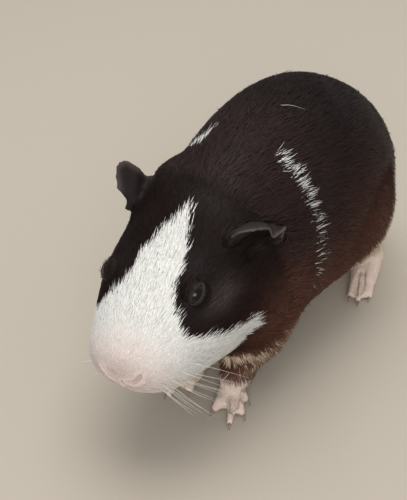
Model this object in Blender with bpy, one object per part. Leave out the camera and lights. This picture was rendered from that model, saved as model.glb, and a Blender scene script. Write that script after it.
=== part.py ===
"""A guinea pig standing still, at the size of life.

The frame has +Z up. The animal looks along -Y, its left side is +X, and the origin lies on the
floor under the middle of the box round it. The flesh is one rounded form, melted together from
lofts, eggs and limbs and then parted with thin cuts, so its outline runs out to the tips of the
short coat. The feet stand on small flats at the floor.
"""

import math

import bmesh
import bpy
import numpy as np
from mathutils import Matrix, Vector

MM = 0.001  # lengths below are in millimetres and become metres through this
GAP = 0.3  # room left between neighbours
MARGIN = 0.5  # the same where a remeshed copy of the neighbour does the trimming
SIDES = {"left": 1, "right": -1}

# ---------------------------------------------------------------- sizes of the body

# Trunk: place along y, middle x, top, widest level, bottom, half width
TRUNK = (
    (-56, 3, 80, 52, 32, 24),
    (-42, 1.5, 89, 49, 21, 29.5),
    (-20, -2.5, 97, 46, 14, 34.5),
    (10, -8.5, 100, 45, 10.5, 39.5),
    (38, -11, 99, 44, 10, 42),
    (60, -14, 91, 44, 12, 38),
    (77, -16, 78, 44, 17, 29),
    (87, -17, 64, 44, 25, 18),
    (92, -17, 52, 44, 35, 7),
)
BACK_FULLNESS = 2.15  # power of a section's upper outline: 2 is an ellipse, more is squarer
BELLY_FULLNESS = 2.05
CHEST = ((3, -44, 40), (22, 20, 22))  # an egg: centre, radii
NAPE = ((1.5, -36, 66), (27, 24, 25))
RUFF = ((-18, -29, 75), (15, 16, 15))  # the full coat behind the right ear
HAUNCH = ((16, 37, 44), (16.5, 27, 26))  # on the left, with its mirror image about HIP_MIDDLE
HIP_MIDDLE = -11
SHOULDER = ((20, -24, 44), (12.5, 19, 20))
SHOULDER_MIDDLE = 0

# ---------------------------------------------------------------- sizes of the head

# In the head's own frame its nose points along -y and its crown up.
HEAD_AT = (-1.5, -41, 63)
HEAD_YAW = 10.5  # degrees, to its left
HEAD_PITCH = 19.5  # nose down
HEAD_ROLL = 6.8  # left side up
# Place ahead of the ears, top, widest level, bottom, half width
HEAD = (
    (-16, 19, -6, -27, 28),
    (0, 20, -7, -31, 31.5),
    (13, 19.5, -8, -31.5, 32),
    (24, 18, -8, -29, 30),
    (35, 15.5, -7, -24.5, 26),
    (44, 12.5, -6, -19.5, 22.5),
    (52, 9, -5, -15, 18.5),
    (57, 5.5, -4, -11.5, 13.5),
    (59.5, 0, -4, -8, 6),
)
CROWN = ((0, -4, 11.5), (21, 17, 10.5))
NOSE = ((0, -55, -2), (8, 4.5, 6.5))
CHIN = ((0, -42, -15.5), (8.5, 8.5, 5))
CHEEK = ((22, -4, -13), (11.5, 21, 17))  # on the left, like the next four
JOWL = ((17, 0, -27), (15, 22, 18))
WHISKER_PAD = ((10, -48, -5.5), (10, 9.5, 8))
BROW = ((15.5, -22.5, 11), (6, 10, 6.5))
EAR_ROOT = ((21, 6, 7), (8.5, 10, 9))
EYE_AT = (16.8, -24.5, 10.5)
EYE_RADIUS = 5.2

# Ears, in the head's frame and given for the left side: where the flap is rooted and where its rim
# runs, both from front to back, and the point in front of the cup that the flap bulges away from
EARS = {
    "left": {
        "root": ((23, -4, 15), (25, 3, 13), (28, 8.5, 8), (30, 7.5, 2.5)),
        "rim": ((25, -6, 20), (29.5, -5, 24), (33.5, 0, 21), (34.7, 4, 16.5), (34, 4.5, 11),
                (36, 11, 10.5), (33, 9.5, 4)),
        "cup": (34, -6, 9),
    },
    "right": {
        "root": ((28, 1, 14), (24, 3.5, 15), (25.5, 9, 12), (30, 9.5, 5)),
        "rim": ((29.5, 3, 22), (30, 7.5, 28.5), (26.5, 9, 32), (23, 10, 31.5), (22.6, 12, 26),
                (24.5, 13, 19), (30, 13.5, 12)),
        "cup": (36, 2, 20),
    },
}
EAR_BULGE = 2.5
EAR_SUNK = 0.2  # share of the flap's height that it starts below its root
EAR_THICKNESS = 1.3

# ---------------------------------------------------------------- sizes of the legs

# Points down each leg, with the radius there
FORELEGS = {
    "left": (((19, -20, 36), 12.5), ((20, -27, 23), 10), ((17.5, -37, 14), 7), ((15.5, -42, 5), 5)),
    "right": (((-19, -20, 36), 12.5), ((-16, -27, 23), 10), ((-7, -37, 14), 7), ((-4, -42, 5), 5)),
}
HINDLEGS = {
    "left": (((5, 52, 33), 15), ((8, 58, 18), 11), ((10, 66, 7), 6)),
    "right": (((-27, 52, 33), 15), ((-30, 58, 18), 11), ((-32, 66, 7), 6)),
}
LEG_MARGIN = 3  # a leg's cutter stands this far outside the leg
THIGH_BALL = ((27, 40, 42), 24)  # the cutter's ball round the thigh, beside HIP_MIDDLE
WRIST_HEIGHT = 8.0  # where foot and leg part
ANKLE_HEIGHT = 8.5

# Fore toes: heading from straight ahead towards the left in degrees, reach from the wrist
FORE_TOES = {
    "left": ((7, 12.5), (36, 17.5), (56, 13.5), (80, 7.5)),
    "right": ((30, 12.5), (4, 17.5), (-18, 13.5), (-44, 7.5)),
}
HIND_HEADING = {"left": 25, "right": -18}
HIND_REACH = (30, 32.5, 28.5)  # inner, middle and outer toe, from the heel
HIND_SPREAD = 3.9  # between neighbouring toe tips
HIND_TOE_ROOT = 16  # from the heel
TOE_RADIUS = 2.2
PALM = (6, 7.5, 3.6)
PALM_AHEAD = 4.5  # of the wrist
SOLE = ((0, 5.2), (9, 5.0), (20, 4.2))  # distance from the heel, radius
SOLE_HALF_SPREAD = 1.9
SOLE_SINK = 0.62  # share of the radius at which a sole's roll lies above the floor
CLAW_LENGTH = 2.8
CLAW_RADIUS = 0.8

# ---------------------------------------------------------------- fineness of the surfaces

BODY_VOXEL = 2.0
BODY_SOFTENING = 10
BODY_TRIANGLES = 2600
FOOT_VOXEL = 0.7
FOOT_SOFTENING = 2
EAR_VOXEL = 0.5
EAR_SOFTENING = 2
EAR_TRIANGLES = 240
FORE_TRIANGLES = 380
HIND_TRIANGLES = 330

# Outlines in the y-z plane that part the head, and the neck behind it, from the rest
HEAD_CUT = ((-54, 140), (-30, 46), (-74, 6), (-150, 6), (-150, 140))
NECK_CUT = ((-36, 150), (-13, 42), (-56, 4), (-160, 4), (-160, 150))
CUTTER_REACH = 90  # to either side of the animal

# Colour and roughness
FINISHES = {
    "dark_coat": ((0.018, 0.012, 0.011, 1), 0.7),
    "pale_skin": ((0.42, 0.30, 0.26, 1), 0.7),
    "ear_skin": ((0.05, 0.04, 0.04, 1), 0.6),
    "eye": ((0.006, 0.004, 0.004, 1), 0.05),
    "claw": ((0.20, 0.15, 0.12, 1), 0.4),
}


# ---------------------------------------------------------------- helpers

def clear_scene():
    for thing in list(bpy.data.objects):
        bpy.data.objects.remove(thing, do_unlink=True)


def mirrored(point, side, middle=0):
    """A point given for the left, on the named side of a middle plane."""
    return Vector((middle + (point[0] - middle) * SIDES[side], point[1], point[2]))


def head_frame():
    turn = Matrix.Rotation(math.radians(HEAD_YAW), 4, "Z")
    nod = Matrix.Rotation(math.radians(HEAD_PITCH), 4, "X")
    tilt = Matrix.Rotation(math.radians(-HEAD_ROLL), 4, "Y")
    return Matrix.Translation(Vector(HEAD_AT)) @ turn @ nod @ tilt


def heading(degrees):
    """A level direction, turned from straight ahead towards the left."""
    angle = math.radians(degrees)
    return Vector((math.sin(angle), -math.cos(angle), 0))


def sideways(along):
    return Vector((-along.y, along.x, 0))


def between(table, places):
    """The table's rows at the given places, on a smooth curve through its stations."""
    table = np.asarray(table, float)
    stations, values = table[:, 0], table[:, 1:]
    slopes = np.gradient(values, stations, axis=0)
    first = np.clip(np.searchsorted(stations, places) - 1, 0, len(stations) - 2)
    step = (stations[first + 1] - stations[first])[:, None]
    s = (places - stations[first])[:, None] / step
    start, end = values[first], values[first + 1]
    return (
        (1 + 2 * s) * (1 - s) ** 2 * start
        + s * (1 - s) ** 2 * step * slopes[first]
        + s * s * (3 - 2 * s) * end
        + s * s * (s - 1) * step * slopes[first + 1]
    )


def section(top, level, bottom, half_width, sides=32):
    """A rounded outline, widest at its level: a list of (across, up)."""
    points = []
    for angle in np.linspace(0, 2 * math.pi, sides, endpoint=False):
        c, s = math.cos(angle), math.sin(angle)
        power = 2 / (BACK_FULLNESS if s > 0 else BELLY_FULLNESS)
        height = (top - level) if s > 0 else (level - bottom)
        across = math.copysign(abs(c) ** power, c) * half_width
        points.append((across, level + math.copysign(abs(s) ** power, s) * height))
    return points


def add_loft(bm, rings):
    """Rings of points joined by faces, with flat ends."""
    rows = [[bm.verts.new(point) for point in ring] for ring in rings]
    count = len(rows[0])
    for near, far in zip(rows, rows[1:]):
        for k in range(count):
            following = (k + 1) % count
            bm.faces.new((near[k], near[following], far[following], far[k]))
    bm.faces.new(rows[0])
    bm.faces.new(list(reversed(rows[-1])))


def add_egg(bm, centre, radii, frame=None, detail=24):
    place = Matrix.Translation(Vector(centre)) @ Matrix.Diagonal((*radii, 1))
    if frame is not None:
        place = frame @ place
    bmesh.ops.create_uvsphere(bm, u_segments=detail, v_segments=detail // 2, radius=1, matrix=place)


def add_limb(bm, stretch, sides=20):
    """A round limb through points of given radius, with a ball at each."""
    for (start, start_radius), (end, end_radius) in zip(stretch, stretch[1:]):
        start, end = Vector(start), Vector(end)
        turn = (end - start).to_track_quat("Z", "Y")
        rings = []
        for centre, radius in ((start, start_radius), (end, end_radius)):
            angles = np.linspace(0, 2 * math.pi, sides, endpoint=False)
            ring = [Vector((radius * math.cos(a), radius * math.sin(a), 0)) for a in angles]
            rings.append([centre + turn @ point for point in ring])
        add_loft(bm, rings)
    for centre, radius in stretch:
        add_egg(bm, centre, (radius, radius, radius), detail=sides)


def to_object(name, bm):
    """The mesh in metres, with its faces pointing out."""
    bmesh.ops.recalc_face_normals(bm, faces=bm.faces)
    bmesh.ops.scale(bm, vec=(MM, MM, MM), verts=bm.verts)
    mesh = bpy.data.meshes.new(name)
    bm.to_mesh(mesh)
    bm.free()
    thing = bpy.data.objects.new(name, mesh)
    bpy.context.collection.objects.link(thing)
    return thing


def copy_of(source, name):
    thing = bpy.data.objects.new(name, source.data.copy())
    bpy.context.collection.objects.link(thing)
    return thing


def as_guide(thing):
    """Kept out of the model: a cutter, or a form that others copy."""
    thing.hide_render = True
    thing.display_type = "WIRE"
    return thing


def applied(thing):
    """Its modifiers turned into plain mesh."""
    graph = bpy.context.evaluated_depsgraph_get()
    mesh = bpy.data.meshes.new_from_object(thing.evaluated_get(graph))
    thing.modifiers.clear()
    thing.data = mesh
    return thing


def melt(thing, voxel, rounds, triangles):
    """One skin over overlapping forms, its creases softened, with fewer faces."""
    remesh = thing.modifiers.new("one skin", "REMESH")
    remesh.mode = "VOXEL"
    remesh.voxel_size = voxel * MM
    soften = thing.modifiers.new("soften", "SMOOTH")
    soften.factor = 0.5
    soften.iterations = rounds
    applied(thing)
    thin = thing.modifiers.new("fewer faces", "DECIMATE")
    thin.ratio = min(1, triangles / (2 * len(thing.data.polygons)))
    return applied(thing)


def with_margin(source, name, voxel):
    """A guide that stands a gap or more outside its source, for neighbours to be trimmed with."""
    wide = copy_of(source, name)
    swell = wide.modifiers.new("margin", "DISPLACE")
    swell.strength = MARGIN * MM
    swell.mid_level = 0
    even = wide.modifiers.new("even faces", "REMESH")
    even.mode = "VOXEL"
    even.voxel_size = voxel * MM
    return as_guide(applied(wide))


def cut(thing, cutter, operation="DIFFERENCE"):
    knife = thing.modifiers.new(cutter.name, "BOOLEAN")
    knife.operation = operation
    knife.object = cutter
    knife.solver = "EXACT"


def finish(thing, finish_name):
    colour, roughness = FINISHES[finish_name]
    material = bpy.data.materials.new(thing.name)
    material.use_nodes = True
    shader = material.node_tree.nodes["Principled BSDF"]
    shader.inputs["Base Color"].default_value = colour
    shader.inputs["Roughness"].default_value = roughness
    shader.inputs["Metallic"].default_value = 0
    thing.data.materials.clear()
    thing.data.materials.append(material)
    thing.data.shade_smooth()
    return thing


# ---------------------------------------------------------------- cutters

def block(name, low, high):
    low, high = Vector(low), Vector(high)
    bm = bmesh.new()
    place = Matrix.Translation((low + high) / 2) @ Matrix.Diagonal((*(high - low), 1))
    bmesh.ops.create_cube(bm, size=1, matrix=place)
    return as_guide(to_object(name, bm))


def layer(name, low, high, front=-150, back=150):
    """Everything between two heights."""
    return block(name, (-CUTTER_REACH, front, low), (CUTTER_REACH, back, high))


def prism(name, profile, grow=0):
    """A convex outline in the y-z plane, run across the animal, its sides moved out by grow."""
    rings = []
    for x in (-CUTTER_REACH, CUTTER_REACH):
        ring = []
        for k, corner in enumerate(profile):
            before = (Vector(corner) - Vector(profile[k - 1])).normalized()
            after = (Vector(profile[(k + 1) % len(profile)]) - Vector(corner)).normalized()
            out = Vector((before.y + after.y, -before.x - after.x)).normalized()
            step = -grow / max(0.3, abs(out.dot(Vector((after.y, -after.x)))))
            ring.append((x, corner[0] + out.x * step, corner[1] + out.y * step))
        rings.append(ring)
    bm = bmesh.new()
    add_loft(bm, rings)
    return as_guide(to_object(name, bm))


def hull(name, balls, grow=0):
    """The convex form that wraps a row of balls."""
    bm = bmesh.new()
    for centre, radius in balls:
        size = radius + grow
        add_egg(bm, centre, (size, size, size), detail=12)
    made = bmesh.ops.convex_hull(bm, input=bm.verts)
    kept = {face for face in made["geom"] if isinstance(face, bmesh.types.BMFace)}
    bmesh.ops.delete(bm, geom=[face for face in bm.faces if face not in kept], context="FACES")
    loose = [vertex for vertex in bm.verts if not vertex.link_faces]
    bmesh.ops.delete(bm, geom=loose, context="VERTS")
    return as_guide(to_object(name, bm))


def leg_balls(kind, side):
    """What a leg's cutter wraps, from the body down."""
    if kind == "fore":
        return [(centre, radius + LEG_MARGIN) for centre, radius in FORELEGS[side]]
    (x, y, z), radius = THIGH_BALL
    thigh = mirrored((HIP_MIDDLE + x, y, z), side, HIP_MIDDLE)
    shin = [(centre, radius + LEG_MARGIN) for centre, radius in HINDLEGS[side][1:]]
    return [(thigh, radius), *shin]


# ---------------------------------------------------------------- the whole body

def trunk_rings():
    places = np.linspace(TRUNK[0][0], TRUNK[-1][0], 30)
    rings = []
    for y, (middle, *row) in zip(places, between(TRUNK, places)):
        rings.append([(middle + across, y, up) for across, up in section(*row)])
    return rings


def head_rings(frame):
    places = np.linspace(HEAD[0][0], HEAD[-1][0], 24)
    rings = []
    for ahead, row in zip(places, between(HEAD, places)):
        rings.append([frame @ Vector((across, -ahead, up)) for across, up in section(*row)])
    return rings


def whole_body(frame):
    """Trunk, neck, head and legs as one rounded form."""
    bm = bmesh.new()
    add_loft(bm, trunk_rings())
    add_loft(bm, head_rings(frame))
    for centre, radii in (CHEST, NAPE, RUFF):
        add_egg(bm, centre, radii)
    for centre, radii in (CROWN, NOSE, CHIN):
        add_egg(bm, centre, radii, frame)
    for side in SIDES:
        for centre, radii in (CHEEK, JOWL, WHISKER_PAD, BROW, EAR_ROOT):
            add_egg(bm, mirrored(centre, side), radii, frame)
        add_egg(bm, mirrored(HAUNCH[0], side, HIP_MIDDLE), HAUNCH[1])
        add_egg(bm, mirrored(SHOULDER[0], side, SHOULDER_MIDDLE), SHOULDER[1])
        add_limb(bm, FORELEGS[side])
        add_limb(bm, HINDLEGS[side])
    form = as_guide(to_object("body_form", bm))
    return melt(form, BODY_VOXEL, BODY_SOFTENING, BODY_TRIANGLES)


# ---------------------------------------------------------------- feet and claws

def toe_stretch(root, tip):
    """A toe arches a little between its root and its tip."""
    middle = root.lerp(tip, 0.55)
    middle.z = TOE_RADIUS * 1.35
    return (root, TOE_RADIUS * 1.25), (middle, TOE_RADIUS), (tip, TOE_RADIUS * 0.9)


def at_toe_heights(root, tip):
    root.z, tip.z = TOE_RADIUS * 1.2, TOE_RADIUS * 0.75
    return root, tip


def fore_toes(side):
    wrist = Vector(FORELEGS[side][-1][0])
    toes = []
    for degrees, reach in FORE_TOES[side]:
        along = heading(degrees)
        toes.append(at_toe_heights(wrist + along * PALM_AHEAD, wrist + along * reach))
    return toes


def hind_toes(side):
    heel = Vector(HINDLEGS[side][-1][0])
    along = heading(HIND_HEADING[side])
    across = sideways(along) * SIDES[side]
    toes = []
    for place, reach in zip((-1, 0, 1), HIND_REACH):
        root = heel + along * HIND_TOE_ROOT + across * place * HIND_SPREAD * 0.75
        toes.append(at_toe_heights(root, heel + along * reach + across * place * HIND_SPREAD))
    return toes


def add_palm(bm, side):
    wrist = Vector(FORELEGS[side][-1][0])
    middle = heading(np.mean([degrees for degrees, _ in FORE_TOES[side][:3]]))
    centre = wrist + middle * PALM_AHEAD
    centre.z = PALM[2] * 0.6
    turn = Matrix.Rotation(math.atan2(middle.x, -middle.y), 4, "Z")
    add_egg(bm, (0, 0, 0), PALM, Matrix.Translation(centre) @ turn)


def add_sole(bm, side):
    """Two rolls side by side, from the heel to the ball of the foot."""
    heel = Vector(HINDLEGS[side][-1][0])
    along = heading(HIND_HEADING[side])
    for spread in (-SOLE_HALF_SPREAD, SOLE_HALF_SPREAD):
        stretch = []
        for distance, radius in SOLE:
            point = heel + along * distance + sideways(along) * spread
            point.z = radius * SOLE_SINK
            stretch.append((point, radius))
        add_limb(bm, stretch)


def foot(kind, side, toes, above, below):
    bm = bmesh.new()
    if kind == "fore":
        add_limb(bm, FORELEGS[side][-2:])
        add_palm(bm, side)
    else:
        add_limb(bm, HINDLEGS[side][-2:])
        add_sole(bm, side)
    for root, tip in toes:
        add_limb(bm, toe_stretch(root, tip), sides=12)
    triangles = FORE_TRIANGLES if kind == "fore" else HIND_TRIANGLES
    thing = melt(to_object(f"{kind}foot_{side}", bm), FOOT_VOXEL, FOOT_SOFTENING, triangles)
    cut(thing, above)
    cut(thing, below)
    return finish(thing, "pale_skin")


def claw(name, root, tip, foot_room):
    """A short curved horn that leaves the toe's end and bends down to just above the floor."""
    along = (tip - root).normalized()
    along.z = 0
    base = tip + along * (TOE_RADIUS * 0.35) + Vector((0, 0, 0.5))
    end = base + along * CLAW_LENGTH
    end.z = CLAW_RADIUS * 0.55
    bend = base.lerp(end, 0.55) + Vector((0, 0, 0.45))
    rings = []
    for point, share in ((base, 1.0), (bend, 0.72), (end, 0.25)):
        radius = share * CLAW_RADIUS
        ring = []
        for angle in np.linspace(0, 2 * math.pi, 8, endpoint=False):
            offset = sideways(along) * math.cos(angle) + Vector((0, 0, math.sin(angle)))
            ring.append(point + offset * radius)
        rings.append(ring)
    bm = bmesh.new()
    add_loft(bm, rings)
    horn = to_object(name, bm)
    cut(horn, foot_room)
    return finish(horn, "claw")


# ---------------------------------------------------------------- eyes and ears

def ball_in_head(name, side, frame, radius):
    bm = bmesh.new()
    place = frame @ Matrix.Translation(mirrored(EYE_AT, side))
    bmesh.ops.create_icosphere(bm, subdivisions=3, radius=radius, matrix=place)
    return to_object(name, bm)


def curve_through(points, count):
    """Evenly spaced places on a smooth curve through a few points."""
    stations = np.linspace(0, 1, len(points))
    return between(np.column_stack([stations, points]), np.linspace(0, 1, count))


def ear(side, frame, across_steps=10, up_steps=5):
    """A thin flap from its curved root to its wavy rim, hollow towards the front."""
    shape = EARS[side]
    roots, rims = (curve_through(shape[key], across_steps + 1) for key in ("root", "rim"))
    bm = bmesh.new()
    rows = []
    for root, rim in zip(roots, rims):
        away = (root + rim) / 2 - shape["cup"]
        away /= np.linalg.norm(away)
        row = []
        for t in np.linspace(-EAR_SUNK, 1, up_steps + 1):
            point = root + (rim - root) * t + away * EAR_BULGE * 4 * t * (1 - t)
            row.append(bm.verts.new(frame @ mirrored(point, side)))
        rows.append(row)
    for near, far in zip(rows, rows[1:]):
        for j in range(up_steps):
            bm.faces.new((near[j], near[j + 1], far[j + 1], far[j]))
    bmesh.ops.recalc_face_normals(bm, faces=bm.faces)
    bmesh.ops.solidify(bm, geom=bm.faces[:], thickness=EAR_THICKNESS)
    flap = melt(to_object("ear_" + side, bm), EAR_VOXEL, EAR_SOFTENING, EAR_TRIANGLES)
    return finish(flap, "ear_skin")


# ---------------------------------------------------------------- assembly

def parted_flesh(body):
    """Head, neck, trunk and four legs, cut from the one form."""
    head_room = prism("head_room", HEAD_CUT, GAP)
    neck_room = prism("neck_room", NECK_CUT, GAP)
    foot_rooms = {
        "fore": layer("forefoot_room", -10, WRIST_HEIGHT + GAP, back=20),
        "hind": layer("hindfoot_room", -10, ANKLE_HEIGHT + GAP, front=20),
    }
    head, neck, trunk = (copy_of(body, name) for name in ("head", "neck", "trunk"))
    cut(head, prism("head_cut", HEAD_CUT), "INTERSECT")
    cut(neck, prism("neck_cut", NECK_CUT), "INTERSECT")
    cut(neck, head_room)
    cut(trunk, neck_room)
    parts = [head, neck, trunk]
    for kind, foot_room in foot_rooms.items():
        cut(trunk, foot_room)
        for side in SIDES:
            leg = copy_of(body, f"{kind}leg_{side}")
            balls = leg_balls(kind, side)
            cut(leg, hull(f"{kind}leg_{side}_cut", balls), "INTERSECT")
            cut(trunk, hull(f"{kind}leg_{side}_room", balls, GAP))
            cut(leg, foot_room)
            if kind == "fore":
                cut(leg, neck_room)
                cut(neck, hull(f"chest_{side}_room", balls, GAP))
                cut(leg, head_room)
            parts.append(leg)
    return [finish(part, "dark_coat") for part in parts]


def build():
    clear_scene()
    frame = head_frame()
    body = whole_body(frame)
    body_room = with_margin(body, "body_room", BODY_VOXEL)
    below = layer("below_floor", -40, 0)
    parts = parted_flesh(body)
    head = parts[0]
    for side in SIDES:
        socket = ball_in_head("socket_" + side, side, frame, EYE_RADIUS + GAP)
        cut(head, as_guide(socket))
        parts.append(finish(ball_in_head("eye_" + side, side, frame, EYE_RADIUS), "eye"))
        flap = ear(side, frame)
        cut(flap, body_room)
        parts.append(flap)
        for kind, toes, height in (
            ("fore", fore_toes(side), WRIST_HEIGHT),
            ("hind", hind_toes(side), ANKLE_HEIGHT),
        ):
            above = layer(f"above_{kind}foot_{side}", height, 120)
            paw = foot(kind, side, toes, above, below)
            parts.append(paw)
            room = with_margin(paw, f"{kind}foot_{side}_room", FOOT_VOXEL)
            for number, (root, tip) in enumerate(toes, 1):
                parts.append(claw(f"claw_{kind}_{side}_{number}", root, tip, room))
    return parts


def stand_over_origin(parts):
    """Hangs all on one empty and moves it until the origin is under the middle of the box."""
    graph = bpy.context.evaluated_depsgraph_get()
    points = []
    for thing in parts:
        mesh = thing.evaluated_get(graph).to_mesh()
        points += [tuple(vertex.co) for vertex in mesh.vertices]
    low, high = np.min(points, axis=0), np.max(points, axis=0)
    base = bpy.data.objects.new("guinea_pig", None)
    bpy.context.collection.objects.link(base)
    for thing in bpy.data.objects:
        if thing is not base:
            thing.parent = base
    base.location = (-(low[0] + high[0]) / 2, -(low[1] + high[1]) / 2, -low[2])
    bpy.context.view_layer.update()
    return base


BASE = stand_over_origin(build())
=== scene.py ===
# %% [markdown]
# # A guinea pig, at the size of life
#
# The plain solids of a standing guinea pig are dressed in the order in which a museum model is
# made: a manikin, a thin skin, glass eyes under modelled lids, and then the coat. The coat is small
# tapered tufts of real mesh, because particle hair doesn't leave Blender with the model.

import math

import bmesh
import bpy
import numpy as np
from mathutils import Matrix, Vector
from mathutils.bvhtree import BVHTree
from mathutils.kdtree import KDTree


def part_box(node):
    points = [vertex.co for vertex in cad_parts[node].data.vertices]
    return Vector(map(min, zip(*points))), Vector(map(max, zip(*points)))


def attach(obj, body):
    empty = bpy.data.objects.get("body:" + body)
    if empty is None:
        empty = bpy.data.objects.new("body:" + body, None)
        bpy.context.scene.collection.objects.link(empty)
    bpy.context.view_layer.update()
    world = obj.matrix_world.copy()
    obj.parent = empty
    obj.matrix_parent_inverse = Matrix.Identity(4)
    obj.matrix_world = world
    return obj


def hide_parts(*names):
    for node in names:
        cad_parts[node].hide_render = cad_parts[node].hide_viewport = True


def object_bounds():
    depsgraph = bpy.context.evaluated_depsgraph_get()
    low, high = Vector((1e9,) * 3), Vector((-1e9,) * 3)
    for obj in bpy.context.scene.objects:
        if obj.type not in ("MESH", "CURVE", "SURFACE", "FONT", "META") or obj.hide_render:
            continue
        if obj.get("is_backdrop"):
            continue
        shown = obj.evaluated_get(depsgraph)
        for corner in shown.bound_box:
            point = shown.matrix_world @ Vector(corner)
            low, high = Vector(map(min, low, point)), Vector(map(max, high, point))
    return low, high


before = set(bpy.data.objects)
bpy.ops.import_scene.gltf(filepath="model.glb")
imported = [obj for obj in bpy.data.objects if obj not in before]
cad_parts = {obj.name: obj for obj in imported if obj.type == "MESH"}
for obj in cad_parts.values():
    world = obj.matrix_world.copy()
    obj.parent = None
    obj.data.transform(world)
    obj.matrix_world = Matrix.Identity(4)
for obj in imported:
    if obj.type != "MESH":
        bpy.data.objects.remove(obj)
CAD_BOX = [list(corner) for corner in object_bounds()]
MM = 0.001
SIDES = {"left": 1, "right": -1}
rng = np.random.default_rng(7)
print("solids:", len(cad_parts), "box in mm:", np.round(np.array(CAD_BOX) / MM, 1).tolist())


# %% Tools for meshes
def linked(name, data):
    """A new object in the scene."""
    thing = bpy.data.objects.new(name, data)
    bpy.context.collection.objects.link(thing)
    return thing


def coordinates(mesh, what="vertices", key="co"):
    values = np.empty(len(getattr(mesh, what)) * 3, np.float32)
    getattr(mesh, what).foreach_get(key, values)
    return values.reshape(-1, 3).astype(float)


def normals_of(mesh):
    return coordinates(mesh, "vertex_normals", "vector")


def moved_to(mesh, points):
    mesh.vertices.foreach_set("co", points.astype(np.float32).ravel())
    mesh.update()
    return mesh


def bmesh_of(*meshes):
    bm = bmesh.new()
    for mesh in meshes:
        bm.from_mesh(mesh)
    return bm


def made_mesh(bm, name):
    mesh = bpy.data.meshes.new(name)
    bm.to_mesh(mesh)
    bm.free()
    return mesh


def search_tree(*meshes):
    bm = bmesh_of(*meshes)
    tree = BVHTree.FromBMesh(bm)
    bm.free()
    return tree


def modified(mesh, *steps):
    """The mesh after some modifiers, each given as a type and its settings."""
    thing = linked("work piece", mesh)
    for kind, settings in steps:
        modifier = thing.modifiers.new(kind, kind)
        for key, value in settings.items():
            setattr(modifier, key, value)
    graph = bpy.context.evaluated_depsgraph_get()
    made = bpy.data.meshes.new_from_object(thing.evaluated_get(graph))
    bpy.data.objects.remove(thing)
    return made


def swell(distance):
    return ("DISPLACE", {"strength": distance * MM, "mid_level": 0})


def wrap(voxel):
    return ("REMESH", {"mode": "VOXEL", "voxel_size": voxel * MM})


def ease(rounds):
    return ("SMOOTH", {"factor": 0.5, "iterations": rounds})


# %% Tools for places and weights
def unit(vectors):
    return vectors / np.maximum(np.linalg.norm(vectors, axis=-1, keepdims=True), 1e-9)


def ramp(values, start, end):
    """0 at start, 1 at end, eased between."""
    t = np.clip((np.asarray(values, float) - start) / (end - start), 0, 1)
    return t * t * (3 - 2 * t)


def blend(a, b, amount):
    return a + (np.asarray(b) - a) * np.asarray(amount)[:, None]


def patch(places, centre, spread):
    """1 at the centre, fading out over the spread along each axis."""
    return np.exp(-(((places - centre) / spread) ** 2).sum(1))


def onto_left(places):
    """Both sides folded onto the left one."""
    return np.abs(places) * (1, 0, 0) + places * (0, 1, 1)


def smooth_curve(points, count):
    """Places on a smooth curve that passes through the given points."""
    points = np.asarray(points, float)
    slopes = np.gradient(points, axis=0)
    places = np.linspace(0, len(points) - 1, count)
    first = np.clip(places.astype(int), 0, len(points) - 2)
    s = (places - first)[:, None]
    return (
        (1 + 2 * s) * (1 - s) ** 2 * points[first]
        + s * (1 - s) ** 2 * slopes[first]
        + s * s * (3 - 2 * s) * points[first + 1]
        + s * s * (s - 1) * slopes[first + 1]
    )


# %% [markdown]
# ## Two frames to think in
#
# Places on the body are in millimetres from the middle of the floor between the feet, and places
# on the face in the head's own frame, whose nose points along -y. Both frames hang on the eyes: the
# solids say where the eyeballs sit, and the named angles how the head is held.

# %% The body's frame and the head's
HEAD_YAW, HEAD_NOD, HEAD_TILT = 10.5, 19.5, 6.8  # degrees
HEAD_AT = Vector((-1.5, -41, 63))  # the head's origin, between the ears, in the body's frame
EYE_AT = (16.8, -24.5, 10.5)  # the left eyeball's centre, in the head's frame


def middle_of(node):
    low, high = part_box(node)
    return (low + high) / 2


def rotation(degrees, axis):
    return Matrix.Rotation(math.radians(degrees), 3, axis)


HEAD_TURN = np.array(rotation(HEAD_YAW, "Z") @ rotation(HEAD_NOD, "X") @ rotation(-HEAD_TILT, "Y"))
between_eyes = np.array((middle_of("eye_left") + middle_of("eye_right")) / 2) / MM
HEAD_ORIGIN = between_eyes - HEAD_TURN @ np.array((0, EYE_AT[1], EYE_AT[2]))
BODY_ORIGIN = HEAD_ORIGIN - np.array(HEAD_AT)


def to_head(points):
    """World metres to millimetres in the head's frame."""
    return (np.asarray(points) / MM - HEAD_ORIGIN) @ HEAD_TURN


def from_head(points):
    return (np.asarray(points, float) @ HEAD_TURN.T + HEAD_ORIGIN) * MM


def to_body(points):
    return np.asarray(points) / MM - BODY_ORIGIN


def from_body(points):
    return (np.asarray(points, float) + BODY_ORIGIN) * MM


print("body frame's origin, mm:", np.round(BODY_ORIGIN, 2), "head's:", np.round(HEAD_ORIGIN, 2))

# %% [markdown]
# ## Camera, floor and light
#
# The animal is seen from above its left front, on a plain pale sheet.
# One broad softbox overhead gives the long sheen down a smooth coat, a weaker one fills from the
# front, and a pale sky keeps the dark coat from going flat black in the shade.

# %% Camera
CAMERA_AT = (192.14, -252.16, 270.35)  # in the body's frame
AZIMUTH, LOOK_DOWN, ROLL = 42.0, 36.0366, -2.2697  # degrees
LENS = 68.52


def make_camera():
    camera = linked("camera", bpy.data.cameras.new("camera"))
    camera.data.lens = LENS
    camera.data.sensor_width = 36
    camera.data.clip_start, camera.data.clip_end = 0.02, 20
    place = (rotation(AZIMUTH, "Z") @ rotation(90 - LOOK_DOWN, "X") @ rotation(ROLL, "Z")).to_4x4()
    place.translation = Vector(from_body(CAMERA_AT))
    camera.matrix_world = place
    bpy.context.scene.camera = camera
    return camera


print("camera at", [round(c, 3) for c in make_camera().location])

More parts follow.
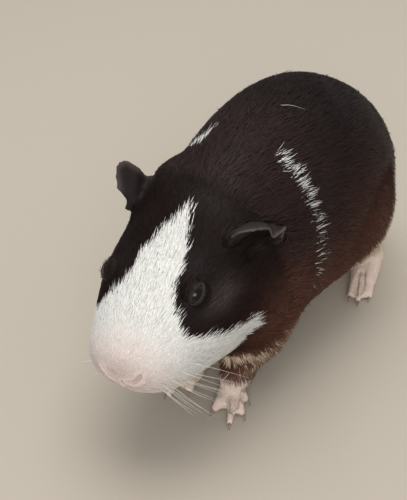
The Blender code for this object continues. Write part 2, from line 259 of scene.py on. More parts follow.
# %% Floor and light
FLOOR_SIZE, FLOOR_DROP = 6.0, 0.0002  # metres
FLOOR_COLOUR = (0.40, 0.36, 0.305, 1)
SKY_COLOUR, SKY_STRENGTH = (1, 0.99, 0.97, 1), 0.55


def plain_material(name, colour, roughness):
    material = bpy.data.materials.new(name)
    material.use_nodes = True
    shader = material.node_tree.nodes["Principled BSDF"]
    shader.inputs["Base Color"].default_value = colour
    shader.inputs["Roughness"].default_value = roughness
    return material


def make_floor():
    mesh = bpy.data.meshes.new("floor")
    half = FLOOR_SIZE / 2
    corners = [(-half, -half, 0), (half, -half, 0), (half, half, 0), (-half, half, 0)]
    mesh.from_pydata(corners, [], [(0, 1, 2, 3)])
    mesh.materials.append(plain_material("pale floor", FLOOR_COLOUR, 0.9))
    floor = linked("floor", mesh)
    floor.location.z = -FLOOR_DROP
    floor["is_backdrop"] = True


def softbox(name, place, aim, size, power, colour):
    lamp = linked(name, bpy.data.lights.new(name, "AREA"))
    lamp.data.shape = "RECTANGLE"
    lamp.data.size, lamp.data.size_y = size
    lamp.data.energy = power
    lamp.data.color = colour
    lamp.location = place
    lamp.rotation_mode = "QUATERNION"
    lamp.rotation_quaternion = (Vector(aim) - Vector(place)).to_track_quat("-Z", "Y")


def make_sky():
    sky = bpy.data.worlds.new("sky")
    sky.use_nodes = True
    background = sky.node_tree.nodes["Background"]
    background.inputs["Color"].default_value = SKY_COLOUR
    background.inputs["Strength"].default_value = SKY_STRENGTH
    bpy.context.scene.world = sky


make_floor()
softbox("overhead", (-0.10, 0.15, 1.10), (0, 0, 0.05), (0.9, 0.9), 10.5, (1, 0.985, 0.96))
softbox("front fill", (0.75, -0.95, 0.65), (0, -0.03, 0.04), (0.7, 0.5), 8.5, (1, 0.97, 0.94))
make_sky()
bpy.context.scene.view_settings.view_transform = "Standard"

# %% [markdown]
# ## Ears
#
# An ear is a bare thin petal on a short crescent of a root, with a wavy rim. One droops and the
# other stands, so each gets its own two curves, and one function spans a hollow sheet between them.

# %% Ears as thin hollow petals
EARS = {
    "left": {
        "root": ((23, -4, 15), (25, 3, 13), (28, 8.5, 8), (30, 7.5, 2.5)),
        "rim": ((25, -6, 20), (29.5, -5, 24), (33.5, 0, 21), (34.7, 4, 16.5), (34, 4.5, 11),
                (36, 11, 10.5), (33, 9.5, 4)),
        "cup": (34, -6, 9),
    },
    "right": {
        "root": ((28, 1, 14), (24, 3.5, 15), (25.5, 9, 12), (30, 9.5, 5)),
        "rim": ((29.5, 3, 22), (30, 7.5, 28.5), (26.5, 9, 32), (23, 10, 31.5), (22.6, 12, 26),
                (24.5, 13, 19), (30, 13.5, 12)),
        "cup": (36, 2, 20),
    },
}
EAR_BULGE = 2.5
EAR_SUNK = 0.2  # as a share of the way from the root to the rim
EAR_THICKNESS = 0.9
EAR_ACROSS, EAR_UP, EAR_HIDDEN = 40, 18, 4  # points along the rim, rows, and rows at the root


def ear_sheet(side):
    """A grid of places in the head's frame, from the sunken root up to the rim."""
    shape = EARS[side]
    roots, rims = (smooth_curve(shape[key], EAR_ACROSS) for key in ("root", "rim"))
    away = (roots + rims) / 2 - shape["cup"]
    away /= np.linalg.norm(away, axis=1)[:, None]
    rows = [roots + (rims - roots) * t + away * EAR_BULGE * 4 * t * (1 - t)
            for t in np.linspace(-EAR_SUNK, 1, EAR_UP)]
    return np.array(rows).transpose(1, 0, 2) * (SIDES[side], 1, 1)


def ear_mesh(side):
    sheet = bmesh.new()
    rows = [[sheet.verts.new(from_head(point)) for point in row] for row in ear_sheet(side)]
    for near, far in zip(rows, rows[1:]):
        for j in range(len(near) - 1):
            sheet.faces.new((near[j], near[j + 1], far[j + 1], far[j]))
    bmesh.ops.recalc_face_normals(sheet, faces=sheet.faces)
    bmesh.ops.solidify(sheet, geom=sheet.faces[:], thickness=EAR_THICKNESS * MM)
    bmesh.ops.recalc_face_normals(sheet, faces=sheet.faces)
    return made_mesh(sheet, f"ear sheet {side}")


# %% [markdown]
# ## One skin over the manikin
#
# The solids meet with hair-thin gaps, so a voxel remesh wraps copies of them that are swollen a
# little, and the swelling comes off again afterwards. The creases behind the jowl, the shoulder and
# the thigh are bridged, as loose skin does, and the webs between the toes are cut out.

# %% Feet with parted toes
TOE_HALF, TOE_LEAST_GAP = 1.6, 0.4  # half a toe's width, and half of the narrowest gap's
GAP_REACH = {"fore": 8, "hind": 14}  # how far back from the claws the gaps between toes run
WEDGE_AHEAD, WEDGE_HEIGHTS, WEDGE_POINT = 7, (-3, 5.5), 0.2
JOINT_SLICE = 0.5  # the slice at a foot's top whose middle is its joint
LEVEL = (1, 1, 0)


def toe_pairs(foot):
    """The middles of neighbouring claws, each with the level way back to the joint, in metres."""
    places = coordinates(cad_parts[foot].data)
    joint = places[places[:, 2] > places[:, 2].max() - JOINT_SLICE * MM].mean(0) * LEVEL
    root = f"claw_{foot.replace('foot', '')}_"
    tips = [np.array(middle_of(name)) * LEVEL for name in sorted(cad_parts) if root in name]
    return [(a, b, unit(joint - (a + b) / 2)) for a, b in zip(tips, tips[1:])]


def toe_wedge(a, b, back, reach):
    """A standing wedge whose point lies between two toes and whose wide end is before them."""
    across = unit(b - a)
    half = max(np.linalg.norm(b - a) / 2 - TOE_HALF * MM, TOE_LEAST_GAP * MM)
    point, mouth = (a + b) / 2 + back * reach * MM, (a + b) / 2 - back * WEDGE_AHEAD * MM
    blunt = across * WEDGE_POINT * MM
    wide = across * (half * (reach + WEDGE_AHEAD) / reach)
    rim = [point - blunt, point + blunt, mouth + wide, mouth - wide]
    bm = bmesh.new()
    low, high = ([bm.verts.new(place + (0, 0, z * MM)) for place in rim] for z in WEDGE_HEIGHTS)
    for face in (low[::-1], high, *((low[k - 1], low[k], high[k], high[k - 1]) for k in range(4))):
        bm.faces.new(face)
    bmesh.ops.recalc_face_normals(bm, faces=bm.faces)
    return linked("toe wedge", made_mesh(bm, "toe wedge"))


def parted_foot(foot):
    """The foot's solid with the webs between its toes cut out."""
    wedges = [toe_wedge(*pair, GAP_REACH[foot[:4]]) for pair in toe_pairs(foot)]
    cuts = [("BOOLEAN", {"object": w, "operation": "DIFFERENCE", "solver": "EXACT"}) for w in wedges]
    mesh = modified(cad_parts[foot].data.copy(), *cuts)
    for wedge in wedges:
        bpy.data.objects.remove(wedge)
    return mesh


# %% Wrap the flesh in one surface
VOXEL = 1.0
SWELL = 0.35
BRIDGE, BRIDGE_VOXEL, BRIDGE_ROUNDS = 6.0, 1.2, 8  # the radius that closes a crease, its remesh
BRIDGE_SUNK = 3.0  # how far the bridging form lies under the face
FACE_END, FACE_FADE = -22, 8  # along the head, where the face's own forms end
LIMBS = [f"{part}_{side}" for part in ("foreleg", "hindleg", "forefoot", "hindfoot") for side in SIDES]
FEET = [name for name in LIMBS if "foot" in name]
LEGS = [name for name in LIMBS if "leg" in name]
FLESH = ["head", "neck", "trunk", *LIMBS]
EAR_NODES = [f"ear_{side}" for side in SIDES]
EYE_NODES = [f"eye_{side}" for side in SIDES]


def joined_nodes(names):
    bm = bmesh_of(*(parted_foot(name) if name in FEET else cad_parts[name].data for name in names))
    bmesh.ops.remove_doubles(bm, verts=bm.verts, dist=1e-7)
    return bm


def bridged_creases():
    """The trunk, head and legs with the creases between them closed, kept clear of the face."""
    core = made_mesh(joined_nodes([name for name in FLESH if name not in FEET]), "core")
    closing = swell(BRIDGE), wrap(BRIDGE_VOXEL), ease(BRIDGE_ROUNDS), swell(-BRIDGE)
    bridged = modified(core, swell(SWELL), wrap(BRIDGE_VOXEL), *closing)
    points = coordinates(bridged)
    face = 1 - ramp(to_head(points)[:, 1], FACE_END, FACE_END + FACE_FADE)
    return moved_to(bridged, points - normals_of(bridged) * ((SWELL + BRIDGE_SUNK * face) * MM)[:, None])


def wrapped_flesh():
    bm = joined_nodes(FLESH + EYE_NODES)
    for mesh in (*(ear_mesh(side) for side in SIDES), bridged_creases()):
        bm.from_mesh(mesh)
    return modified(made_mesh(bm, "flesh"), swell(SWELL), wrap(VOXEL))


def outer_shell(mesh):
    """Only the largest connected piece, without what the wrap closed inside it."""
    bm = bmesh_of(mesh)
    seen, largest = set(), []
    for start in bm.verts:
        if start in seen:
            continue
        seen.add(start)
        island, front = [start], [start]
        while front:
            for edge in front.pop().link_edges:
                for end in edge.verts:
                    if end not in seen:
                        seen.add(end)
                        island.append(end)
                        front.append(end)
        largest = max(largest, island, key=len)
    kept = set(largest)
    bmesh.ops.delete(bm, geom=[v for v in bm.verts if v not in kept], context="VERTS")
    return made_mesh(bm, "skin")


skin_mesh = outer_shell(wrapped_flesh())
print("skin:", len(skin_mesh.vertices), "points")

# %% [markdown]
# ## Which part of the body is this?
#
# Each point of the skin gets soft weights, from its distance to the solids: how much it belongs to
# the head, an ear or a foot. The trunk and head are then relaxed for many rounds, because the
# remesh keeps the solids' broad facets, and the feet and ears for few, because relaxing shrinks
# what is thin.

# %% Weights for the regions
def distances(points, nodes):
    """Each point's distance in millimetres to the nearest of the named solids."""
    tree = search_tree(*(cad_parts[name].data for name in nodes))
    return np.array([tree.find_nearest(point)[3] for point in points]) / MM


def ear_distance(points):
    places = np.concatenate([from_head(ear_sheet(side)[:, EAR_HIDDEN:].reshape(-1, 3)) for side in SIDES])
    tree = KDTree(len(places))
    for index, place in enumerate(places):
        tree.insert(place, index)
    tree.balance()
    return np.array([tree.find(point)[2] for point in points]) / MM


def regions(points):
    feet = 1 - ramp(distances(points, FEET), 0.2, 4)
    ears = 1 - ramp(ear_distance(points), 1.2, 3.0)
    head = 1 - ramp(distances(points, ["head", *EYE_NODES]), 0.5, 6)
    return {"foot": feet, "ear": ears, "head": head * (1 - ears)}


def relax(mesh, weights, rounds):
    """Moves each point towards its neighbours' middle, in its own measure."""
    points = coordinates(mesh)
    ends = np.empty(len(mesh.edges) * 2, np.int64)
    mesh.edges.foreach_get("vertices", ends)
    a, b = ends.reshape(-1, 2).T
    count = np.bincount(a, minlength=len(points)) + np.bincount(b, minlength=len(points))
    for _ in range(rounds):
        middle = np.empty_like(points)
        for axis in range(3):
            total = np.bincount(a, points[b, axis], len(points))
            total += np.bincount(b, points[a, axis], len(points))
            middle[:, axis] = total / count
        points += (middle - points) * weights[:, None]
    return moved_to(mesh, points)


RELAX_ROUNDS, HOLLOW_ROUNDS = 26, 200


def fill_hollows(mesh, region):
    """Lifts the skin out of its hollows, as loose skin spans them, and never presses it in."""
    before, outward = coordinates(mesh), normals_of(mesh)
    loose = (1 - region["foot"]) * (1 - region["ear"])
    loose *= ramp(to_head(before)[:, 1], FACE_END, FACE_END + 10)
    spanned = relax(mesh.copy(), 0.5 * loose, HOLLOW_ROUNDS)
    lift = ((coordinates(spanned) - before) * outward).sum(1) * loose
    bpy.data.meshes.remove(spanned)
    moved_to(mesh, before + outward * np.clip(lift, 0, None)[:, None])
    relax(mesh, 0.4 * loose, 4)
    print("hollows filled by up to mm:", round(float(lift.max()) / MM, 1))


region = regions(coordinates(skin_mesh))
relax(skin_mesh, 0.5 * (1 - region["foot"]) * (1 - region["ear"]), RELAX_ROUNDS)
relax(skin_mesh, np.full(len(skin_mesh.vertices), 0.4), 2)
fill_hollows(skin_mesh, region)
print("foot points:", int(region["foot"].sum()), "ear points:", int(region["ear"].sum()))

# %% [markdown]
# ## The coat's depth
#
# The solids reach to the tips of the coat, so the skin lies inside them: over two millimetres on
# the trunk, less on the crown and cheeks, and almost nothing on the muzzle, the feet and the bare
# ears. The depth is one function of place, which the tufts use as well.

# %% How deep the coat is
BODY_DEPTH, HEAD_DEPTH, MUZZLE_DEPTH, FOOT_DEPTH = 2.3, 1.3, 0.35, 0.1
MUZZLE_FROM, MUZZLE_TO = -30, -50  # along the head
THIN_BELOW, THIN_SHARE = (30, 12), 0.55  # the coat thins towards the belly
SOLE_CLEAR = 0.02


def coat_depth(points, region):
    muzzle = ramp(to_head(points)[:, 1], MUZZLE_FROM, MUZZLE_TO)
    on_head = HEAD_DEPTH + (MUZZLE_DEPTH - HEAD_DEPTH) * muzzle
    depth = BODY_DEPTH + (on_head - BODY_DEPTH) * region["head"]
    depth *= 1 - THIN_SHARE * ramp(to_body(points)[:, 2], *THIN_BELOW) * (1 - region["head"])
    depth += (FOOT_DEPTH - depth) * region["foot"]
    return depth * (1 - region["ear"])


points = coordinates(skin_mesh)
depth = coat_depth(points, region)
points -= normals_of(skin_mesh) * ((depth + SWELL) * MM)[:, None]
points[:, 2] = np.maximum(points[:, 2], SOLE_CLEAR * MM)
moved_to(skin_mesh, points)
print("coat depth mm:", round(float(depth.min()), 2), "to", round(float(depth.max()), 2))

# %% [markdown]
# ## Eyelids, nostrils and mouth
#
# The skin is subdivided round the eyes and nose and between the toes. Outside an almond opening it
# rises to a lid's thickness over the eyeball, and inside it drops behind the ball, so that only the
# glass eye shows. Nostrils, the cleft of the lip, the mouth, the ear canals and the gaps between
# toes are grooves along short paths that are first laid on the skin.

# %% Subdivide the skin where the detail is
EYEBALL = 5.15
EYE_LOOK = {"left": (0.675, -0.38, 0.633), "right": (-0.675, -0.38, 0.633)}
SLIT_HALF_LENGTH, SLIT_HALF_HEIGHT = 4.0, 1.55
SLIT_ALONG = (-0.1, -0.94, -0.33)  # towards the front corner, on the left
NOSE_TIP = (1.2, -59, -1)
FINE_ZONES = [((SIDES[s] * 20, -26, 13), 8.0) for s in SIDES] + [(NOSE_TIP, 9.5)]
TOE_ZONE = 2.6
GAP_START, GAP_STEPS = 2.5, 5  # behind the line between two claws


def refined(mesh, zones, cuts):
    """The mesh with the edges split that lie in some balls of the head's frame."""
    bm = bmesh_of(mesh)
    local = to_head([v.co for v in bm.verts])
    inside = np.zeros(len(local), bool)
    for centre, radius in zones:
        inside |= np.linalg.norm(local - centre, axis=1) < radius
    bm.verts.ensure_lookup_table()
    edges = [e for e in bm.edges if inside[e.verts[0].index] and inside[e.verts[1].index]]
    bmesh.ops.subdivide_edges(bm, edges=edges, cuts=cuts, use_grid_fill=True)
    return made_mesh(bm, "skin")


def toe_gap(foot, a, b, back):
    """A path in the head's frame from between two claws towards the heel."""
    steps = np.linspace(GAP_START, GAP_REACH[foot[:4]] + 1, GAP_STEPS)
    return to_head([(a + b) / 2 + back * step * MM + (0, 0, 5 * MM) for step in steps])


TOE_GAPS = [toe_gap(foot, *pair) for foot in FEET for pair in toe_pairs(foot)]
skin_mesh = refined(skin_mesh, FINE_ZONES, cuts=2)
skin_mesh = refined(skin_mesh, [(place, TOE_ZONE) for gap in TOE_GAPS for place in gap], cuts=1)
local = to_head(coordinates(skin_mesh))
fine = np.zeros(len(local))
for centre, radius in FINE_ZONES:
    fine = np.maximum(fine, 1 - ramp(np.linalg.norm(local - centre, axis=1), radius - 1, radius + 1.5))
relax(skin_mesh, 0.5 * fine, 4)
print("skin with a finer face:", len(skin_mesh.vertices), "points")


# %% Grooves and dimples
def laid_on(tree, path, count=24):
    """A smooth path in the head's frame, dropped onto the skin: world places."""
    return [tree.find_nearest(Vector(place))[0] for place in from_head(smooth_curve(path, count))]


def path_distance(points, path):
    """Millimetres from each point to a path of world places."""
    path = np.array(path)
    nearest = np.full(len(points), 1e9)
    for a, b in zip(path, path[1:]):
        along = b - a
        t = np.clip(((points - a) @ along) / max(along @ along, 1e-12), 0, 1)
        nearest = np.minimum(nearest, np.linalg.norm(points - a - t[:, None] * along, axis=1))
    return nearest / MM


def carve(path, depth, width, lip=0.0):
    """Presses a groove into the skin, with a low raised lip beside it if one is asked for."""
    points = coordinates(skin_mesh)
    gap = path_distance(points, laid_on(tree, path))
    press = depth * (1 - ramp(gap, width * 0.25, width))
    press -= lip * ramp(gap, width * 0.8, width * 1.3) * (1 - ramp(gap, width * 1.4, width * 2.6))
    moved_to(skin_mesh, points - normals_of(skin_mesh) * (press * MM)[:, None])


NOSTRIL = ((2.6, -59.6, -1.6), (4.6, -59.2, -1.4), (6.6, -58.2, 0), (8, -56.8, 1.8))
LIP_CLEFT = ((0, -60, -2.5), (0, -59, -6), (0, -56, -10))
MOUTH = ((0, -55, -11.5), (4, -53, -11.5), (8, -49, -12), (11, -44, -13.5))
CANALS = {"left": (28.5, -1.0, 8.5), "right": (-28.5, 4.0, 9.5)}
CANAL_HALF = (0, 2, 0)


def mirrored_path(path, side, middle=NOSE_TIP[0]):
    return [(middle + x * SIDES[side], y, z) for x, y, z in path]


tree = search_tree(skin_mesh)
carve(mirrored_path(LIP_CLEFT, "left"), 0.7, 0.9)
for side in SIDES:
    carve(mirrored_path(NOSTRIL, side), 1.2, 1.0, lip=0.1)
    carve(mirrored_path(MOUTH, side), 1.0, 1.0, lip=0.2)
    carve([np.subtract(CANALS[side], CANAL_HALF), np.add(CANALS[side], CANAL_HALF)], 2.0, 4.0)
for gap in TOE_GAPS:
    carve(gap, 1.1, 1.2)
print("grooves carved:", 1 + 3 * len(SIDES) + len(TOE_GAPS))


# %% Eyelids
def eye_axes(side):
    """The eye's own directions in the head's frame: front corner, up and outward."""
    look = np.array(EYE_LOOK[side]) / np.linalg.norm(EYE_LOOK[side])
    along = np.array(SLIT_ALONG) * (SIDES[side], 1, 1)
    along -= look * (along @ look)
    along /= np.linalg.norm(along)
    across = np.cross(look, along)
    across *= np.sign(across[2])
    return along, across, look


def eye_centre(side):
    return np.array(EYE_AT) * (SIDES[side], 1, 1)


def slit_height(a):
    """Half the opening's height at a place along it."""
    return SLIT_HALF_HEIGHT * np.clip(1 - (a / SLIT_HALF_LENGTH) ** 2, 0, 1) ** 0.75


LID = 0.6
LID_BEHIND = 1.3  # how far the skin drops behind the ball's surface inside the opening
LID_CENTRE_DROP = 0.1  # the opening's middle line lies a little below the ball's middle
LID_FULL, LID_STEP, LID_END = 5.4, 0.5, 9.5  # from the eye's axis: full height, lower past it, none
LID_FADE = (5.2, 9.0)  # from the eye's axis, where the lid runs out into the face
OPEN_WITHIN, OPEN_EDGE = 5.0, 0.25
FOLD = (0.35, 1.9, 0.45)  # depth of the lid's fold, its way from the opening's edge, its width
RIM = (0.15, 0.5, 0.5)  # the same for the raised edge


def ridge(edge, height, place, width):
    return height * np.exp(-(((edge - place) / width) ** 2))


def shape_lids(mesh, side):
    points = coordinates(mesh)
    along, across, look = eye_axes(side)
    local = to_head(points) - eye_centre(side)
    a, b, out = local @ along, local @ across + LID_CENTRE_DROP, local @ look
    reach = np.hypot(a, b)
    near = (1 - ramp(reach, *LID_FADE)) * ramp(out, 0.0, 1.5)
    ball = np.sqrt(np.clip(EYEBALL**2 - reach**2, 0.8, None))
    edge = np.abs(b) - slit_height(a)
    edge = np.where(np.abs(a) > SLIT_HALF_LENGTH, np.maximum(edge, np.abs(a) - SLIT_HALF_LENGTH), edge)
    lid = ball + LID - ridge(edge, *FOLD) + ridge(edge, *RIM)
    target = np.maximum(out, np.where(reach < LID_FULL, lid, lid - LID_STEP))
    target = out + (target - out) * near
    inside = (1 - ramp(edge, -OPEN_EDGE, OPEN_EDGE)) * (reach < OPEN_WITHIN) * (out > 0)
    target += (ball - LID_BEHIND - target) * inside
    shift = (target - out)[:, None] * (look @ HEAD_TURN.T) * MM
    moved_to(mesh, points + np.where(((reach < LID_END) & (out > 0))[:, None], shift, 0))


for side in SIDES:
    shape_lids(skin_mesh, side)
print("lids shaped over", len(SIDES), "eyes")

# %% [markdown]
# ## Markings
#
# A nearly black brown coat, redder low on the flank and cheek, with a white blaze that covers the
# muzzle and sends a stripe back along the cheek, pale feet and a cream underside. Each border runs
# through a few stations and is read as a signed distance in millimetres, so the same function can
# colour the skin softly and each tuft sharply.

# %% Colours of the coat
DARK = np.array((0.0130, 0.0075, 0.0073))
RUSSET = (0.1000, 0.0385, 0.0250)
GREY = (0.046, 0.036, 0.035)
WHITE = np.array((0.705, 0.705, 0.680))
CREAM = (0.56, 0.46, 0.35)
PINK = (0.70, 0.56, 0.52)
FOOT_PINK = np.array((0.66, 0.54, 0.47))
# painted shade inside the nostril slits
NOSTRIL_SHADE = (0.20, 0.12, 0.11)
# painted shade in the gaps between the toes
TOE_GAP_SHADE = (0.07, 0.026, 0.024)
EAR_DARK = (0.016, 0.012, 0.012)
# a painted highlight: the lighter band along each ear's rim, where the rim catches the light
EAR_RIM_HIGHLIGHT = (0.075, 0.058, 0.060)
EYE_RIM = (0.022, 0.014, 0.013)

RIM_HIGHLIGHT_REACH = {"left": 1.4, "right": 3.4}  # how far the painted highlight along the rim reaches into each ear
FLANK_RED = (38, 38, 45), (18, 30, 22)  # a soft patch's centre and spread, in the body's frame
CHEEK_RED = (28, -8, -22), (13, 17, 13)  # and in the head's
BROW_GREY = (24, -24, 6.5), (6, 8, 4)
RED_FADE = (25, 72)  # the heights between which the low red fades out
THROAT_DROP, THROAT_RISE, THROAT_FROM = 36.5, 0.15, 12  # the throat's cream edge under the head
WHITE_END, STRIPE_END, STRIPE_MEETS = -1.0, -17, -30  # along the head
LEGS_PART = 5  # along the body, between the fore and the hind legs

# Along the head: place, the blaze's edge towards the right and towards the left
BLAZE = (
    (-62, -40, 40), (-40, -17, 19), (-37.5, -13.5, 15.4), (-33.6, -8.8, 12.9), (-28.6, -7, 11.6),
    (-21.7, -6.6, 10.4), (-15, -4.1, 9.3), (-9.8, -1.2, 8.2), (-4.7, 2.6, 6.8), (-1, 5.1, 5.4),
)
# Along the head: place, the cheek stripe's lower and upper edge
CHEEK_STRIPE = (
    (-62, -60, 40), (-44, -60, 13), (-40, -60, 5.4), (-37, -60, 1.8), (-34, -60, -1.2),
    (-31, -16, -3.4), (-29, -14.5, -4.6), (-25.4, -13, -6.2), (-21, -13.8, -7.8),
    (-17.4, -15, -9.8), (-13.5, -16, -13),
)
# Along the body: place, and the height under which the coat is cream
CREAM_UNDER = (
    (-30, 5), (-5, 14), (15, 20), (29, 33), (38, 36), (45, 44), (50, 51), (55, 55), (65, 56),
    (75, 53), (95, 42),
)


def across_curve(table, place):
    """Reads the table's other columns at each place, straight between its stations."""
    stations, *columns = np.array(table).T
    return [np.interp(place, stations, column) for column in columns]


def white_face(local):
    """How far inside the white of the face a place is, in millimetres; negative outside."""
    x, y, z = local.T
    right, left = across_curve(BLAZE, y)
    blaze = np.where(z > -6, np.minimum(x - right, left - x), -20)
    low, high = across_curve(CHEEK_STRIPE, y)
    stripe = np.minimum(np.minimum(high - z, z - low), STRIPE_END - y)
    stripe = np.where(np.abs(x) > 12, stripe, np.minimum(stripe, STRIPE_MEETS - y))
    return np.maximum(np.minimum(blaze, WHITE_END - y), stripe)


def dark_coat(local, body, region, shift):
    """Near black, darker on the head, with painted shade on top of the back against the lamp's sheen;
    redder on the flank and cheek, grey over the eye.
    """
    # painted shade: the top of the back is darkened to offset the overhead lamp's sheen
    top_shade = ramp(body[:, 2], 62, 92) * ramp(body[:, 1], -10, 25)
    base = DARK * (1.5 - 0.75 * top_shade - 0.7 * region["head"])[:, None]
    low = 1 - ramp(body[:, 2] + shift * 2, *RED_FADE)
    red = 0.85 * np.maximum(low, patch(onto_left(body), *FLANK_RED))
    base = blend(base, RUSSET, red * (1 - region["head"]))
    base = blend(base, RUSSET, 0.9 * patch(onto_left(local), *CHEEK_RED))
    return blend(base, GREY, 0.9 * patch(onto_left(local), *BROW_GREY))


def cream_below(local, body, region, shift):
    """How cream the underside and the throat are, from 0 to 1."""
    limit, = across_curve(CREAM_UNDER, body[:, 1])
    under = 1 - ramp(body[:, 2] + 1.5 * shift, limit - 1.5, limit + 1.5)
    under *= np.where(body[:, 1] < LEGS_PART, 1 - region["leg"], 1)
    below = THROAT_RISE * (np.abs(local[:, 0]) - THROAT_FROM) - local[:, 2]
    throat = ramp(below + shift, THROAT_DROP, THROAT_DROP + 1.5) * (1 - ramp(local[:, 1], 0, 8))
    return np.clip(np.maximum(throat * (1 - region["leg"]), under), 0, 1)


def coat_colour(points, region, ragged=0.0, soft=0.6):
    """The colour at each point, with borders shifted by the given random millimetres."""
    local, body = to_head(points), to_body(points)
    shift = ragged * rng.normal(size=len(points)) if ragged else 0.0
    base = blend(dark_coat(local, body, region, shift), CREAM, cream_below(local, body, region, shift))
    white = ramp(white_face(local) + shift, -soft, soft) * np.clip(region["head"] * 2, 0, 1)
    nose = 1 - ramp(np.linalg.norm((local - NOSE_TIP) / (1.2, 1, 1), axis=1), 4, 24)
    return blend(blend(base, WHITE, white), PINK, 0.8 * nose * white)


def set_colour(mesh, colours):
    layer = mesh.color_attributes.new("coat_colour", "FLOAT_COLOR", "POINT")
    values = np.ones((len(colours), 4), np.float32)
    values[:, :3] = np.clip(colours, 0, 1)
    layer.data.foreach_set("color", values.ravel())


# %% Markings on the skin, with painted light on the ears and painted shade in the nostrils and toe gaps
def ear_colour_with_painted_light(colour, points, side):
    rim = smooth_curve(np.array(EARS[side]["rim"]) * (SIDES[side], 1, 1), 60)
    to_rim = path_distance(points, from_head(rim))
    # painted highlight along the ear's rim, reaching further into the right ear
    colour = blend(colour, EAR_RIM_HIGHLIGHT, region["ear"] * (1 - ramp(to_rim, 0.4, RIM_HIGHLIGHT_REACH[side])))
    # painted shade: the ear canal darkened towards its middle
    deep = np.linalg.norm(to_head(points) - CANALS[side], axis=1)
    return blend(colour, DARK * 0.6, 1 - ramp(deep, 2.0, 6.5))


def colour_eye_rim(colour, points, side):
    along, across, look = eye_axes(side)
    around = to_head(points) - eye_centre(side)
    reach = np.hypot((around @ along) / 1.6, around @ across)
    return blend(colour, EYE_RIM, (1 - ramp(reach, 3.0, 4.4)) * (around @ look > 0))


points = coordinates(skin_mesh)
region = regions(points)
region["leg"] = 1 - ramp(distances(points, LEGS), 0.5, 5)
# the skin is painted a little darker than the coat, as shade under the tufts
colour = blend(coat_colour(points, region) * 0.92, EAR_DARK, region["ear"])
colour = blend(colour, FOOT_PINK, np.clip(region["foot"] * 1.4, 0, 1))
for side in SIDES:
    colour = colour_eye_rim(ear_colour_with_painted_light(colour, points, side), points, side)
    # painted shade: the nostril slits darkened, as their openings lie in shade
    slit = path_distance(points, laid_on(tree, mirrored_path(NOSTRIL, side)))
    colour = blend(colour, NOSTRIL_SHADE, 0.75 * (1 - ramp(slit, 0.2, 1.1)))
# painted shade along the gaps between the toes
for gap in TOE_GAPS:
    line = path_distance(points, laid_on(tree, gap))
    colour = blend(colour, TOE_GAP_SHADE, 0.8 * (1 - ramp(line, 0.3, 1.3)) * region["foot"])
set_colour(skin_mesh, colour)
print("white share of the skin:", round(float((colour[:, 1] > 0.4).mean()), 3))

# %% [markdown]
# ## The skin's material
#
# The skin carries the markings as a colour attribute. It lets a little light through, and a fine
# bump, drawn out along the body, stands for the short underfur that shows between the tufts.

# %% Tools for materials
def feed(material, node, **values):
    """Sets a node's inputs; a value that is another node's output is linked to its input."""
    for key, value in values.items():
        socket = node.inputs[key.replace("_", " ")]
        if isinstance(value, bpy.types.NodeSocket):
            material.node_tree.links.new(value, socket)
        else:
            socket.default_value = value
    return node


def new_node(material, kind, **values):
    return feed(material, material.node_tree.nodes.new(kind), **values)


def bump_from(material, source, strength, distance):
    bump = new_node(material, "ShaderNodeBump", Strength=strength, Distance=distance, Height=source)
    return bump.outputs["Normal"]


def noise_in(material, scale, stretch, detail=3):
    """Noise in the object's own space, drawn out along y."""
    place = new_node(material, "ShaderNodeTexCoord").outputs["Object"]
    spread = new_node(material, "ShaderNodeMapping", Scale=stretch, Vector=place).outputs["Vector"]
    noise = new_node(material, "ShaderNodeTexNoise", Scale=scale, Detail=detail, Vector=spread)
    return noise.outputs["Fac"]


def coat_attribute(material):
    attribute = new_node(material, "ShaderNodeAttribute")
    attribute.attribute_name = "coat_colour"
    return attribute.outputs["Color"]


def tinted(material, source, low, high):
    """The colour attribute, lightened and darkened by a noise."""
    spread = {"From_Min": 0.3, "From_Max": 0.7, "To_Min": low, "To_Max": high}
    shade = new_node(material, "ShaderNodeMapRange", Value=source, **spread)
    mix = new_node(material, "ShaderNodeVectorMath")
    mix.operation = "SCALE"
    feed(material, mix, Vector=coat_attribute(material), Scale=shade.outputs["Result"])
    return mix.outputs["Vector"]


def surfaced(material, **values):
    """The material with some inputs of its shader set or linked."""
    feed(material, material.node_tree.nodes["Principled BSDF"], **values)
    return material


def finished(name, mesh, material, slot, *replaced):
    """Puts a mesh into the scene as a piece of the model."""
    mesh.name = name
    piece = linked(name, mesh)
    mesh.materials.clear()
    mesh.materials.append(material)
    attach(piece, "root")
    if replaced:
        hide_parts(*replaced)
    return piece


# %% The skin and its material
def skin_material():
    material = plain_material("skin", (0.5, 0.4, 0.4, 1), 0.62)
    underfur = noise_in(material, 900, (1, 0.35, 1))
    return surfaced(
        material,
        Base_Color=tinted(material, underfur, 0.9, 1.08),
        Normal=bump_from(material, underfur, 0.5, 0.0003),
        Subsurface_Weight=0.12,
        Subsurface_Radius=(1.0, 0.35, 0.25),
        Subsurface_Scale=0.002,
        Specular_IOR_Level=0.2,
    )


skin_mesh.shade_smooth()
skin = finished("skin", skin_mesh, skin_material(), "coat", *FLESH, *EAR_NODES)
print("skin faces:", len(skin_mesh.polygons))

# %% [markdown]
# ## Eyes
#
# The eye is nearly all dark iris and pupil, a polished ball with a slightly bulging cornea. The
# lids' bare margins are a separate thin tube, because so small a form is lost in the skin's mesh.

# %% Eyeballs
PUPIL, IRIS, CORNEA_BULGE = 2.3, 4.2, 0.25
PUPIL_BLACK, IRIS_BROWN, BALL_DARK = (0.004, 0.0035, 0.0035), (0.020, 0.010, 0.006), (0.012, 0.008, 0.008)


def eye_material():
    material = plain_material("eye", (0.008, 0.005, 0.004, 1), 0.03)
    return surfaced(material, Base_Color=coat_attribute(material), Specular_IOR_Level=0.22)


